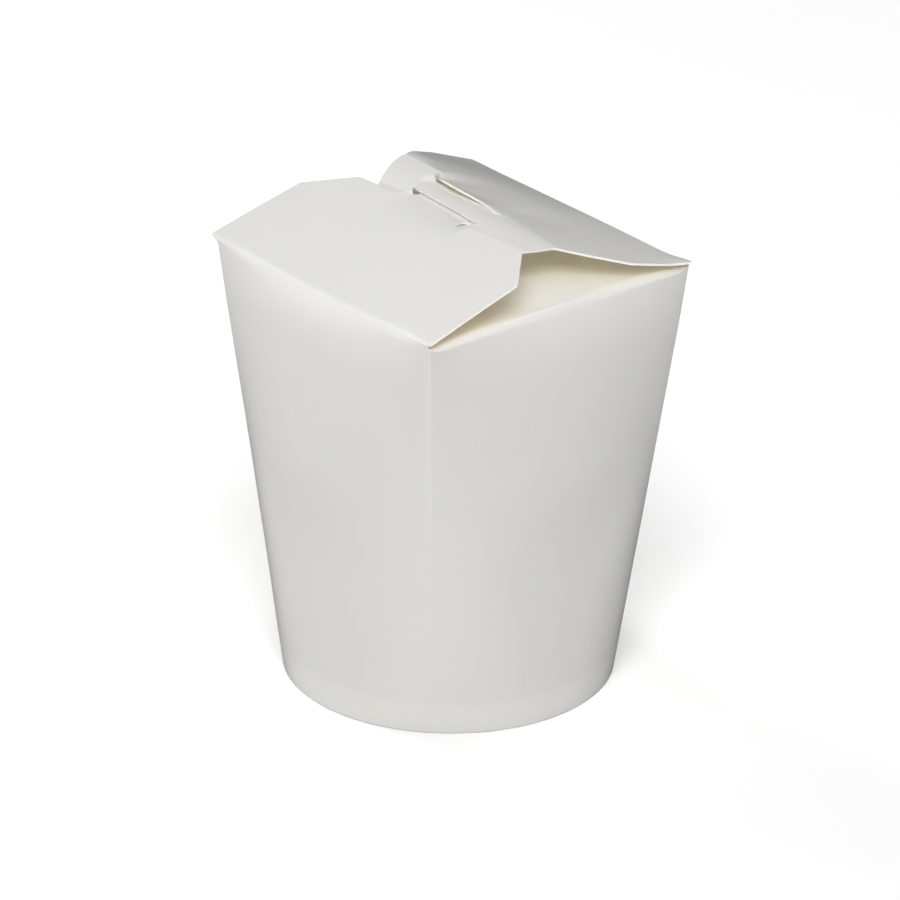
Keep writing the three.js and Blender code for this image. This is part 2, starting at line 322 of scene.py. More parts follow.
def to_world(wall: Wall, out: float, along: float, height: float) -> Point:
    """A point given by its distances from the axis on one wall, in the box's frame.

    Args:
        wall: The wall.
        out: Distance outwards.
        along: Distance along it.
        height: Height.

    Returns:
        The point.
    """
    turn = wall.value * math.pi / 2.0
    cos, sin = round(math.cos(turn)), round(math.sin(turn))
    return out * cos - along * sin, out * sin + along * cos, height


# ---- the flaps' shapes


@dataclass(frozen=True)
class FrontFlapForm:
    """Sizes of the front flap and its tongue, in millimetres, and its surface."""

    hinge: float = -46.0
    rise: Point = (0.9, 0.315, -0.00064)
    tilt: float = 0.0003
    right_curl: float = 0.000009
    fold_dip: float = 0.9
    dip_reach: float = 40.0
    tips: Pair = (47.9, 45.2)
    side_corner: Pair = (45.7, -15.9)
    edge_corner: float = 33.8
    free_edge: Curve = (
        (-33.8, -5.3), (-26.0, -4.9), (-20.5, -4.75), (-18.2, -4.2), (-14.0, -4.0),
        (0.0, -4.4), (6.9, -4.9), (8.5, -4.85), (12.8, -4.5), (20.0, -4.15), (33.8, -4.3),
    )
    neck: Pair = (-18.2, 6.9)
    left_edge: Curve = (
        (-4.2, -18.2), (-3.7, -17.4), (-2.6, -16.4), (-1.6, -15.4), (0.0, -14.3), (4.0, -15.6),
    )
    right_edge: Curve = (
        (-4.9, 6.9), (-3.5, 6.35), (-2.2, 6.2), (-1.3, 6.6), (-0.5, 7.4), (0.0, 8.3), (4.0, 9.5),
    )
    tongue_end: float = 13.0
    tongue_crowding: float = 1.3
    bend_start: float = -14.0
    bend_columns: Stops = (-19.5, -14.4, 8.0, 12.5)
    cover_left: Pair = (-17.2, -15.9)
    cover_right: Pair = (-0.1, 1.9)

    def plain(self, x: float, y: float, form: BoxForm) -> float:
        """Height of the flat part of the flap over (x, y).

        Args:
            x: Place across the box.
            y: Depth.
            form: The carton's sizes.

        Returns:
            The height in millimetres.
        """
        run = y - self.hinge
        base, slope, loss = self.rise
        dip = self.fold_dip * (1.0 - clamp(abs(x) / form.half) ** 2)
        dip *= clamp(1.0 - run / self.dip_reach) ** 2
        height = base + slope * run + loss * run * run - dip
        height += (self.tilt * x + self.right_curl * max(x, 0.0) ** 2) * run
        return form.fold_height + height

    def slope(self) -> float:
        """The flap's slope at its fold, as an angle."""
        return math.atan(self.rise[1])

    def edge(self, x: float) -> float:
        """Depth y of the free edge at x."""
        return along_points(x, self.free_edge)

    def cover(self, x: float, y: float) -> float:
        """Share by which the tongue, and not only the flap beside it, lies over (x, y)."""
        edge = along_points(y, self.right_edge)
        return window(x, (*self.cover_left, *(edge + shift for shift in self.cover_right)))


@dataclass(frozen=True)
class RearFlapForm:
    """Sizes of the rear flap with its ridge, lip and slits, in millimetres.

    Pairs for the flap's two sides name its left (-X) side first.
    """

    fold_level: float = 0.6
    hinge: float = 44.2
    slopes: Curve = (
        (-45.0, 23.6), (-38.0, 24.4), (-32.0, 24.5), (-27.0, 24.2), (-18.5, 23.0),
        (-14.5, 22.2), (-9.6, 21.3), (-4.1, 20.3), (1.6, 19.4), (8.9, 17.75), (19.0, 16.3),
        (28.0, 15.15), (31.0, 14.75), (45.0, 13.15),
    )
    left_curve: float = 0.020
    curve_start: float = 17.2
    curve_columns: Pair = (17.5, 30.0)
    bulge: float = 0.2
    bulge_end: float = 10.0
    bulge_columns: Stops = (-41.0, -26.0, -6.0, 15.0)
    crest_softness: float = 0.3
    crest_gap: float = 0.25
    crest_blend: Stops = (-0.2, 1.4, -2.0, 0.0)
    panel_length: float = 36.6
    left_length: float = 0.9
    left_columns: Pair = (5.0, 30.0)
    tip_rise: float = 0.75
    tip_columns: Pair = (36.0, 46.0)
    tip_rows: Pair = (34.0, 44.0)
    slit_dips: Curve = (
        (-19.5, 0.0), (-17.1, 1.1), (-14.5, 0.9), (-9.6, 0.6), (-4.1, 0.15), (1.6, 0.0),
    )
    dip_middle: float = -17.1
    dip_reach: float = 24.0
    dip_spread: float = 7.0
    dip_power: float = 1.3
    dip_shift: float = 1.2
    shift_reach: float = 2.2
    tip: float = 46.2
    tip_depth: float = 45.0
    corners: tuple[Pair, Pair] = ((43.3, 28.2), (43.3, 25.9))
    corner_middle: float = 27.05
    corner_reach: float = 43.0
    ridge_halves: Pair = (33.1, 31.1)
    narrowings: Pair = (10.5, 7.5)
    narrowing_power: float = 1.5
    lip_edge: float = -10.0
    lip_middle: Point = (12.75, -0.058, -0.0011)
    lip_free: Point = (9.6, 0.0, -0.0002)
    slit: Pair = (-17.0, 10.6)
    ridge_slit: tuple[Pair, Pair] = ((-17.4, 7.9), (9.6, 8.9))
    slit_places: Pair = (-0.577, 0.33)
    slit_depth: float = 8.2
    slit_width: float = 0.3
    slit_relief: Curve = ((-17.3, 0.0), (-16.2, 0.6), (-15.0, 1.2), (-13.2, 0.0))
    spread_behind: Pair = (9.5, 34.5)
    spread_before: float = 9.0
    presses: Curve = (
        (-15.5, 1.35), (-8.5, 1.35), (-1.6, 0.95), (2.8, 0.65), (7.5, 0.4), (9.6, 0.0),
    )
    press_fade: Pair = (2.4, 1.2)
    press_bow: float = 2.3
    press_front: float = 0.08
    press_power: float = 1.6

    def slope(self, x: float) -> float:
        """Slope of the panel at x, as an angle: it is twisted, higher on the left."""
        return math.radians(along_points(x, self.slopes))

    def ridge(self, x: float) -> float:
        """Distance y of the ridge at x: along the second slit it is the slit's edge.

        Args:
            x: Place across the box.

        Returns:
            The distance in millimetres.
        """
        length = self.panel_length + self.left_length * smooth(-x, *self.left_columns)
        crease = self.hinge - length * math.cos(self.slope(x))
        (left, _), (right, _) = self.ridge_slit
        ends = zip((left, left, right, right), self.crest_blend)
        at_slit = window(x, [end + shift for end, shift in ends])
        return lerp(crease, self.slit_line(x) + self.crest_gap, at_slit)

    def panel(self, x: float, y: float, form: BoxForm) -> float:
        """Height of the panel over (x, y): on the left it curves towards the ridge.

        Args:
            x: Place across the box.
            y: Depth.
            form: The carton's sizes.

        Returns:
            The height in millimetres.
        """
        height = form.fold_height + self.fold_level + math.tan(self.slope(x)) * (self.hinge - y)
        low, high = self.tip_rows
        near = clamp((y - low) / (high - low)) ** 2
        height += self.tip_rise * smooth(x, *self.tip_columns) * near
        run = clamp((self.hinge - y) / (self.hinge - self.bulge_end))
        height += self.bulge * window(x, self.bulge_columns) * math.sin(math.pi * run)
        near = max(self.curve_start - y, 0.0)
        height -= self.left_curve * smooth(-x, *self.curve_columns) * near * near
        behind = max(y - self.slit_line(x), 0.0)
        place = self.dip_middle + (x - self.dip_middle) / (1.0 + behind / self.dip_spread)
        place -= self.dip_shift * smooth(behind, 0.0, self.shift_reach)
        sag = clamp(1.0 - behind / self.dip_reach) ** self.dip_power
        return height - along_points(place, self.slit_dips) * sag

    def lip(self, x: float, y: float, form: BoxForm) -> float:
        """Height of the lip's curve over (x, y).

        Args:
            x: Place across the box.
            y: Depth.
            form: The carton's sizes.

        Returns:
            The height in millimetres.
        """
        ridge = self.ridge(x)
        levels = (self.lip_middle, self.lip_free)
        middle, free = (form.fold_height + a + b * x + c * x * x for a, b, c in levels)
        curve = ((ridge, self.panel(x, ridge, form)), (0.0, middle), (self.lip_edge, free))
        if y > ridge:
            slope = curve[0][1] - through_three(ridge - 1.0, curve)
            return curve[0][1] + slope * (y - ridge)
        return through_three(y, curve)

    def slit_line(self, x: float) -> float:
        """Distance y of the second slit, by the ridge, at x."""
        (x0, y0), (x1, y1) = self.ridge_slit
        return lerp(y0, y1, (x - x0) / (x1 - x0))

    def bridge_drop(self, x: float, y: float) -> float:
        """How far the bridge between the slits is pressed down at (x, y).

        Args:
            x: Place across the box.
            y: Depth.

        Returns:
            The drop in millimetres.
        """
        depth = clamp(y / self.slit_line(x))
        left = lerp(self.slit[0], self.ridge_slit[0][0], depth)
        left -= self.press_bow * math.sin(math.pi * depth)
        fade = lerp(*self.press_fade, depth ** 4)
        amount = along_points(x, self.presses) * smooth(x, left, left + fade)
        return amount * lerp(self.press_front, 1.0, depth ** self.press_power)

    def half_width(self, y: float, right: bool) -> float:
        """Half the flap's width at a depth y, on its left or its right side.

        Args:
            y: Depth.
            right: Whether it is the right (+X) side.

        Returns:
            The distance from the middle.
        """
        half, (corner_x, corner_y) = self.ridge_halves[right], self.corners[right]
        ridge = self.ridge(half if right else -half)
        if y > corner_y:
            return lerp(corner_x, self.tip, (y - corner_y) / (self.tip_depth - corner_y))
        if y > ridge:
            return lerp(half, corner_x, (y - ridge) / (corner_y - ridge))
        drawn = clamp((ridge - y) / (ridge - self.lip_edge)) ** self.narrowing_power
        return half - self.narrowings[right] * drawn


# ---- the carton's blank


@dataclass
class Carton:
    """The folded blank: walls, hem and four flaps, welded into one sheet of board.

    Sizes are in millimetres, and places along a wall go from -1 to 1.
    """

    form: BoxForm
    front: FrontFlapForm
    rear: RearFlapForm
    hem_steps: int = 4
    foot_steps: int = 8
    wall_steps: int = 56
    wall_crowding: float = 1.6
    fold_steps: int = 8
    fold_crowding: float = 0.75
    side_steps: int = 24
    front_steps: tuple[int, int] = (22, 12)
    tongue_steps: int = 44
    tongue_ease: float = 0.1
    rear_steps: tuple[tuple[str, int, int], ...] = (
        ("panel", 14, 0), ("taper", 20, 1), ("crest", 4, 1), ("bridge", 20, 0), ("lip", 26, 0),
    )
    crowded: float = 0.86
    side_columns: int = 44
    main_counts: tuple[int, ...] = (12, 16, 16, 12, 16)
    corner_counts: tuple[int, int] = (6, 4)
    settling: int = 4
    covered_rows: int = 10
    crowd_half: float = 0.09
    seam_column: float = -0.855
    front_lift: Pair = (0.45, 0.95)
    lift_start: float = 0.45
    rear_lift: float = 0.7
    fold_pull: float = 0.22
    fold_dent: float = 0.1
    tip_fold: float = 0.1
    tip_start: float = 0.7
    corner_bite: float = 0.45
    bite_start: float = 0.95
    side_trims: Point = (0.25, 2.6, 5.5)
    trim_start: float = 0.8
    side_flap_edge_slope: float = -4.0
    side_flap_rise: float = 6.0
    side_flap_depth: float = 43.0
    board_gap: float = 0.08
    notch_gap: float = 0.17
    notch_columns: Stops = (0.0, 6.0, 9.0, 14.0)
    slit_gap: float = 0.3
    press_ease: float = 0.07
    press_softness: float = 0.3
    # Painted highlight along both edges of every fold.
    fold_edge_highlight: float = 0.35
    # The ridge's light line: a whitened crease and a painted highlight.
    ridge_whitening_and_highlight: float = 0.8
    # Painted shadow along the front flap's free edge beside the tongue.
    free_edge_painted_shadow: float = 0.6
    # Painted shade on the ridge's drop at the second slit's left end, and the columns it spans.
    slit_end_painted_shade: float = 2.2
    slit_end_shade_columns: Pair = (-1.2, 3.2)
    # Painted contact shadow on the lip behind the front flap's free edge, and its shape.
    contact_shade: float = 0.75
    contact_offset: float = 1.1
    contact_reach: Pair = (0.9, 1.7)
    contact_peak: float = 1.4
    contact_columns: Pair = (-5.0, 2.0)
    # A lighter band at the foot: partly the hem's double board, partly painted bounce light from
    # the floor.
    foot_hem_and_painted_bounce: float = 0.35
    foot_fade: float = 1.5
    weld: float = 0.002
    bevel: float = 0.1
    bevel_segments: int = 2
    bevel_angle: float = 60.0

    # ---- rows from the hem up to the wall's top and over the fold, the same on every wall

    @cached_property
    def ring(self) -> list[Row]:
        """The rows that all four walls share, as kinds and values.

        Returns:
            The rows, from the hem's edge up.
        """
        hem = [("hem", value) for value in spaced(0.0, 1.0, self.hem_steps)]
        foot = [("foot", value) for value in spaced(1.0, 0.0, self.foot_steps)[1:]]
        lowest = self.form.foot_rounding / self.form.wall_top
        wall = [
            ("wall", lerp(lowest, 1.0, 1.0 - (1.0 - value) ** self.wall_crowding))
            for value in spaced(0.0, 1.0, self.wall_steps)[1:]
        ]
        return hem + foot + wall

    @cached_property
    def fold(self) -> list[float]:
        """Shares of the way over a fold: closer together at both of its edges.

        Returns:
            The shares, the last one 1.
        """
        return [
            0.5 - 0.5 * math.copysign(abs(1.0 - 2.0 * share) ** self.fold_crowding, 0.5 - share)
            for share in spaced(0.0, 1.0, self.fold_steps)[1:]
        ]

    @property
    def flap_row(self) -> int:
        """Number of a fold's last row, which is row 0 of its flap."""
        return len(self.ring) + len(self.fold) - 1

    def lift(self, wall: Wall, place: float) -> float:
        """How far the wall's top stands above wall_top at a place along it.

        Args:
            wall: The wall.
            place: From -1 to 1 along the wall.

        Returns:
            The lift in millimetres.
        """
        middle = self.rear_lift if wall is Wall.REAR else 0.0
        if wall is Wall.FRONT:
            middle = lerp(*self.front_lift, smooth(abs(place), self.lift_start, 1.0))
        corner = smooth(abs(place), self.form.corner_start, 1.0)
        return lerp(middle, self.form.corner_lift, corner)

    def ring_point(self, wall: Wall, place: float, row: Row) -> Point:
        """A point of the outer face on one of the shared rows.

        Args:
            wall: The wall.
            place: From -1 to 1 along the wall.
            row: The row's kind and value.

        Returns:
            The point in millimetres.
        """
        form = self.form
        kind, value = row
        if kind == "wall":
            out, along = form.outline(place, value)
            near_top = smooth(value, form.bow_start, 1.0)
            if wall in (Wall.FRONT, Wall.REAR):
                out += form.fold_bow * near_top * (1.0 - place * place)
            height = value * form.wall_top + self.lift(wall, place) * near_top
            wave = noise.noise(Vector(to_world(wall, out, along, height)) / form.wave_length)
            wave *= window(value, form.wave_rows)
            out += form.waviness * wave * (1.0 - smooth(abs(place), form.corner_start, 1.0))
            if wall is Wall.LEFT and place <= form.seam_place:
                step = form.seam_step * smooth(place, -1.0, form.seam_place - form.seam_blend)
                out += step * window(value, form.seam_rows)
            return to_world(wall, out, along, height)
        rounding = form.foot_rounding
        out, along = form.outline(place, rounding / form.wall_top)
        turn = math.pi * value if kind == "foot" else math.pi
        inset = rounding * (1.0 - math.cos(turn))
        height = rounding * (1.0 - math.sin(turn))
        if kind == "hem":
            height = lerp(form.hem_depth, rounding, value)
        scale = 1.0 - inset / math.hypot(out, along)
        return to_world(wall, out * scale, along * scale, height)

    # ---- folds

    def wall_end(self, wall: Wall, place: float) -> tuple[Vector, Vector]:
        """The top point of a wall at a place, and one a little below it."""
        top, below = (self.ring_point(wall, place, ("wall", share)) for share in (1.0, 0.99))
        return Vector(top), Vector(below)

    def fold_point(self, wall: Wall, place: float, turn: float, end: Point) -> Point:
        """A point of a rounded fold, between the wall's top and the flap's start.

        Args:
            wall: The wall that the fold belongs to.
            place: From -1 to 1 along the fold.
            turn: Share of the way over the fold.
            end: Where the flap starts at this place.

        Returns:
            The point in millimetres.
        """
        start, below = self.wall_end(wall, place)
        finish = Vector(end)
        inwards = -Vector(to_world(wall, 1.0, 0.0, 0.0))
        slope = self.fold_slope(wall, place, finish.x)
        leave = (start - below).normalized()
        arrive = inwards * math.cos(slope) + Vector((0.0, 0.0, math.sin(slope)))
        pull = (finish - start).length * self.fold_pull
        knots = (start, start + leave * pull, finish - arrive * pull, finish)
        weights = bezier_weights(turn, 3)
        point = sum((knot * weight for knot, weight in zip(knots, weights)), Vector())
        inner = (start + finish - knots[1] - knots[2]).normalized()
        size = self.fold_size(wall, place) / self.form.fold_radius
        point += inner * (self.fold_dent * size * math.sin(math.pi * turn) ** 2)
        bite = self.corner_bite * smooth(self.to_front(wall, place), self.bite_start, 1.0)
        bite *= math.sin(math.pi * turn)
        along = Vector(to_world(wall, 0.0, math.copysign(1.0, place), 0.0))
        return tuple(point - along * bite)

    @staticmethod
    def to_front(wall: Wall, place: float) -> float:
        """Share of the way from a wall's middle to its corner with the front wall.

        Args:
            wall: The wall.
            place: From -1 to 1 along the wall.

        Returns:
            The share, below 0 towards the rear.
        """
        if wall is Wall.FRONT:
            return abs(place)
        return {Wall.RIGHT: -place, Wall.LEFT: place}.get(wall, 0.0)

    def side_slope(self, place: float) -> float:
        """Slope of a side flap, as an angle: it is arched, higher in its middle."""
        arch = (1.0 - place * place) * self.side_flap_rise
        return math.radians(self.side_flap_edge_slope + arch)

    def fold_slope(self, wall: Wall, place: float, x: float) -> float:
        """Slope of the flap of a wall where it leaves its fold, at a place and at x.

        Args:
            wall: The wall.
            place: From -1 to 1 along the wall.
            x: Place across the box.

        Returns:
            The slope as an angle.
        """
        if wall is Wall.FRONT:
            return self.front.slope()
        return self.rear.slope(x) if wall is Wall.REAR else self.side_slope(place)

    def fold_inset(self, wall: Wall, place: float, slope: float) -> float:
        """Distance outwards at which the flap of a wall leaves its fold.

        Args:
            wall: The wall.
            place: From -1 to 1 along the wall.
            slope: The flap's slope there.

        Returns:
            The distance in millimetres.
        """
        top, below = self.wall_end(wall, place)
        out = Vector(to_world(wall, 1.0, 0.0, 0.0))
        lean = math.atan2((below - top).dot(out), top.z - below.z)
        radius = self.fold_size(wall, place)
        return top.dot(out) - radius * (math.cos(lean) - math.sin(slope))

    def fold_size(self, wall: Wall, place: float) -> float:
        """How far a fold reaches over the flap: a main fold narrows to its tips.

        Args:
            wall: The wall.
            place: From -1 to 1 along the wall.

        Returns:
            The size in millimetres.
        """
        if wall in (Wall.FRONT, Wall.REAR):
            narrow = smooth(abs(place), self.tip_start, 1.0)
            return lerp(self.form.fold_radius, self.tip_fold, narrow)
        return self.form.fold_radius

    # ---- surfaces of the two main flaps

    def tongue_bend(self, x: float, y: float, below: float) -> float:
        """How far a sheet dips to go through the first slit, some way below the bridge.

        Args:
            x: Place across the box.
            y: Depth.
            below: Distance of the sheet's outer face under the bridge's outer face.

        Returns:
            The dip from the flat flap's plane.
        """
        bridge = self.rear_top(x, 0.0, self.rear.bridge_drop(x, 0.0))
        start = self.front.bend_start
        bend = clamp((y - start) / -start) ** 2
        return (self.front.plain(x, 0.0, self.form) - bridge + below) * bend

    def front_height(self, x: float, y: float) -> float:
        """Height of the front flap over (x, y), with the tongue bent to the slit.

        Args:
            x: Place across the box.
            y: Depth.

        Returns:
            The height in millimetres.
        """
        below = self.form.board + self.slit_gap
        dip = self.tongue_bend(x, y, below) * window(x, self.front.bend_columns)
        height = self.front.plain(x, y, self.form) - dip
        if y > 0.0:
            return min(height, self.rear_top(x, y, self.rear.bridge_drop(x, y)) - below)
        return height

    def rear_top(self, x: float, y: float, drop: float = 0.0) -> float:
        """Height of the rear flap over (x, y), before the front flap presses on it."""
        rear, form = self.rear, self.form
        return soft_min(rear.panel(x, y, form), rear.lip(x, y, form), rear.crest_softness) - drop

    def rear_height(self, x: float, y: float) -> float:
        """Height of the rear flap over (x, y), pressed down under the front flap.

        Args:
            x: Place across the box.
            y: Depth.

        Returns:
            The height in millimetres.
        """
        if y > 0.0:
            on_bridge = y < self.rear.slit_line(x)
            return self.rear_top(x, y, self.rear.bridge_drop(x, y) if on_bridge else 0.0)
        beyond = max(y - self.front.edge(x), 0.0)
        cover = self.front.cover(x, y)
        gap = self.board_gap + self.notch_gap * window(x, self.notch_columns)
        limit = self.front_height(x, y) - self.form.board - gap
        limit += (1.0 - cover) * self.press_ease * beyond * beyond
        top = self.rear_top(x, y)
        pressed = self.front.plain(x, y, self.form)
        pressed -= self.tongue_bend(x, y, 2.0 * self.form.board + self.slit_gap + gap)
        return soft_min(lerp(top, min(top, pressed), cover), limit, self.press_softness)

    # ---- columns

    def all_columns(self, *middle: Sequence[float]) -> list[float]:
        """Places along a wall, closer together at its corners, round given middle ones.

        Args:
            middle: Stretches of places, the lowest first.

        Returns:
            The places, from -1 to 1.
        """
        last = 1.0 - self.form.corner_part
        before, within = self.corner_counts
        corner = joined(spaced(self.crowded, last, before), spaced(last, 1.0, within))
        return joined([-value for value in reversed(corner)], *middle, corner)

    def main_columns(self, left: float, right: float) -> list[float]:
        """Places along a main wall, closer together round the ends of the tongue.

        Args:
            left: The lower end's place.
            right: The higher end's place.

        Returns:
            The places, from -1 to 1.
        """
        stops = [-self.crowded]
        stops += [end + sign * self.crowd_half for end in (left, right) for sign in (-1.0, 1.0)]
        stops.append(self.crowded)
        return self.all_columns(*map(spaced, stops, stops[1:], self.main_counts))

    # ---- the four sheets

    def add_wall(
        self, mesh: BMesh, wall: Wall, columns: Sequence[float], flap: PlacePoint, steps: int,
        painted_light_and_whitening: PlacePaintedLightAndWhitening | None = None,
    ) -> dict[BMVert, tuple[int, int]]:
        """Adds a wall, its fold and its flap as one sheet.

        Args:
            mesh: The mesh that the sheet joins.
            wall: The wall.
            columns: The places of the sheet's columns.
            flap: Gives a point of the flap by its place and its row.
            steps: The flap's last row; on row 0 it leaves the fold.
            painted_light_and_whitening: As in add_sheet; without it each row has its common
                painted light and whitening.

        Returns:
            The column and row of each vertex.
        """
        def point(place: float, row: int) -> Point:
            """A point of the whole sheet.

            Args:
                place: The column's place along the wall.
                row: The row.

            Returns:
                The point in millimetres.
            """
            if row < len(self.ring):
                return self.ring_point(wall, place, self.ring[row])
            if row > self.flap_row:
                return flap(place, row - self.flap_row)
            return self.fold_point(wall, place, self.fold[row - len(self.ring)], flap(place, 0))

        painted_light_and_whitening = painted_light_and_whitening or (lambda place, row: self.common_painted_light_and_whitening(row))
        return add_sheet(mesh, columns, self.flap_row + steps + 1, point, wall, painted_light_and_whitening)

    def side_sheet(self, mesh: BMesh, wall: Wall) -> None:
        """Adds a side wall with its fold and the flap that lies under the roof.

        Args:
            mesh: The mesh that the sheets join.
            wall: The wall.
        """
        half, seam = self.form.half, self.seam_column
        beyond = spaced(seam, self.crowded, self.side_columns)
        columns = self.all_columns((-self.crowded, seam), beyond)
        shares = spaced(0.0, 1.0, self.side_steps)
        at_front, at_rear, at_end = self.side_trims

        def flap_point(place: float, row: int) -> Point:
            """A point of the flap.

            Args:
                place: The column's place along the wall.
                row: The flap's row.

            Returns:
                The point in millimetres.
            """
            slope, share = self.side_slope(place), shares[row]
            out = lerp(self.fold_inset(wall, place, slope), half - self.side_flap_depth, share)
            to_rear = smooth(-self.to_front(wall, place), self.trim_start, 1.0)
            trim = lerp(at_front, at_rear, to_rear)
            along = place * lerp(half - trim, half - at_end, share)
            height = self.form.fold_height + math.tan(slope) * (half - out)
            return to_world(wall, out, along, height)

        self.add_wall(mesh, wall, columns, flap_point, self.side_steps)

    def front_sheet(self, mesh: BMesh) -> None:
        """Adds the front wall with its fold, its flap and the tongue.

        Args:
            mesh: The mesh that the sheets join.
        """
        flap = self.front
        side_x, side_y = flap.side_corner
        left, right = (end / flap.edge_corner for end in flap.neck)
        columns = self.main_columns(left, right)
        body, edge = self.front_steps
        shares = spaced(0.0, 1.0, body) + spaced(1.0, 2.0, edge)[1:]

        def flap_point(place: float, row: int) -> Point:
            """A point of the flap: up to its side corners, and from there to its free edge.

            Args:
                place: The column's place along the wall.
                row: The flap's row.

            Returns:
                The point in millimetres.
            """
            share, end_x = shares[row], place * flap.edge_corner
            x, y = place * side_x, side_y
            if share > 1.0:
                x, y = lerp(x, end_x, share - 1.0), lerp(y, flap.edge(end_x), share - 1.0)
            else:
                begin = -self.fold_inset(Wall.FRONT, place, flap.slope())
                x, y = lerp(place * flap.tips[place >= 0.0], x, share), lerp(begin, y, share)
            return x, y, self.front_height(x, y)

        def painted_light_and_whitening(place: float, row: int) -> float:
            """The painted light and whitening: a painted shadow darkens the flap's free edge
            beside the tongue.

            Args:
                place: The column's place along the wall.
                row: The row.

            Returns:
                The painted light and whitening.
            """
            # Painted shadow on the free edge's row, except on the tongue.
            if row == self.flap_row + body + edge and not left < place < right:
                return -self.free_edge_painted_shadow
            return self.common_painted_light_and_whitening(row)

        self.add_wall(mesh, Wall.FRONT, columns, flap_point, body + edge, painted_light_and_whitening)

        neck = [value for value in columns if left - CLOSE <= value <= right + CLOSE]
        depth = spaced(0.0, 1.0, self.tongue_steps)

        def tongue_point(place: float, row: int) -> Point:
            """A point of the tongue.

            Args:
                place: The column's place along the wall.
                row: The tongue's row.

            Returns:
                The point in millimetres.
            """
            edge_x, edge_y, _ = flap_point(place, body + edge)
            y = lerp(edge_y, flap.tongue_end, depth[row] ** flap.tongue_crowding)
            low, high = along_points(y, flap.left_edge), along_points(y, flap.right_edge)
            x = lerp(low, high, (place - left) / (right - left))
            x = lerp(edge_x, x, smooth(depth[row], 0.0, self.tongue_ease))
            return x, y, self.front_height(x, y)

        tongue = add_sheet(mesh, neck, len(depth), tongue_point, Wall.FRONT)
        for face in {face for vert in tongue for face in vert.link_faces}:
            face.material_index = COVERED

    def rear_sheet(self, mesh: BMesh) -> None:
        """Adds the rear wall with its fold, panel, ridge, bridge, slits and lip.

        Args:
            mesh: The mesh that the sheets join.
        """
        flap = self.rear
        half_slit = flap.slit_width / 2.0
        left, right = flap.slit_places
        (slit_start, _), (slit_stop, _) = flap.ridge_slit
        at_slit = (slit_start - 1.0, slit_start, slit_stop - 1.0, slit_stop)
        columns = self.main_columns(-right, -left)
        body = [
            (kind, value)
            for kind, steps, first in self.rear_steps
            for value in spaced(0.0, 1.0, steps)[first:]
        ]
        kinds = [kind for kind, _ in body]
        crest_row, bridge_row, lip_row = (
            self.flap_row + kinds.index(kind) for kind in ("crest", "bridge", "lip")
        )

        def across(place: float, y: float) -> float:
            """Where a column runs at a depth: it follows the slits' ends and the flap's sides.

            Args:
                place: From -1 to 1, in the direction of x.
                y: Depth.

            Returns:
                The place x.
            """
            wide_left, wide_right = -flap.half_width(y, False), flap.half_width(y, True)
            share = clamp(y / flap.slit_depth)
            begin, end = flap.spread_behind
            free = clamp((y - begin) / (end - begin) if y > 0.0 else -y / flap.spread_before)
            low = lerp(lerp(flap.slit[0], slit_start, share), -left * wide_left, free)
            high = lerp(lerp(flap.slit[1], slit_stop, share), right * wide_right, free)
            if place < left:
                return lerp(wide_left, low, (place + 1.0) / (left + 1.0))
            if place > right:
                return lerp(high, wide_right, (place - right) / (1.0 - right))
            return lerp(low, high, (place - left) / (right - left))

        def depth_of(x: float, row: Row, start: float) -> float:
            """The depth of a row, which leaves both slits open.

            Args:
                x: Place across the box.
                row: The row's kind and value.
                start: Depth at which the flap starts.

            Returns:
                The depth y.
            """
            kind, value = row
            ridge = flap.ridge(clamp(x, -flap.ridge_halves[0], flap.ridge_halves[1]))
            slit = min(flap.slit_line(x), ridge - flap.crest_gap)
            corner = lerp(
                flap.corner_middle, flap.corners[x >= 0.0][1], clamp(abs(x) / flap.corner_reach)
            )
            if kind == "lip":
                begin = -half_slit - along_points(x, flap.slit_relief)
                return lerp(begin, flap.lip_edge, math.sin(value * math.pi / 2.0))
            ends = {
                "panel": (start, corner), "taper": (corner, ridge),
                "crest": (ridge, slit + half_slit), "bridge": (slit - half_slit, half_slit),
            }
            return lerp(*ends[kind], value)

        def flap_point(place: float, row: int) -> Point:
            """A point of the flap.

            Args:
                place: The column's place along the wall.
                row: The flap's row.

            Returns:
                The point in millimetres.
            """
            x = -place * flap.tip
            y = start = self.fold_inset(Wall.REAR, place, flap.slope(x))
            for _ in range(self.settling if row else 0):
                y = depth_of(x, body[row], start)
                x = across(-place, y)
            return x, y, self.rear_height(x, y)

        def painted_light_and_whitening(place: float, row: int) -> float:
            """The painted light and whitening: on the ridge a whitened crease with a painted
            highlight, at the second slit's left end a painted shade, and on the lip a painted
            contact shadow behind the front flap's free edge.

            Args:
                place: The column's place along the wall.
                row: The row.

            Returns:
                The painted light and whitening.
            """
            steps = abs(row - crest_row + 1)
            x = across(-place, flap.slit_line(0.0))
            # Painted shade on the drop at the second slit's left end.
            first, last = (slit_start + shift for shift in self.slit_end_shade_columns)
            if crest_row <= row < bridge_row and first < x < last:
                return -self.slit_end_painted_shade * math.sin(math.pi * (x - first) / (last - first))
            # Whitened crease and painted highlight along the ridge.
            if steps < 2:
                return self.ridge_whitening_and_highlight * (1.0 - window(x, at_slit)) * (1.0 - 0.5 * steps)
            # Painted contact shadow on the lip behind the front flap's free edge.
            if row >= lip_row:
                x, y, _ = flap_point(place, row - self.flap_row)
                reach = lerp(*self.contact_reach, smooth(x, *self.contact_columns))
                away = abs(y - self.front.edge(x) - self.contact_offset)
                return -self.contact_shade * clamp(self.contact_peak - away / reach)
            return self.common_painted_light_and_whitening(row)

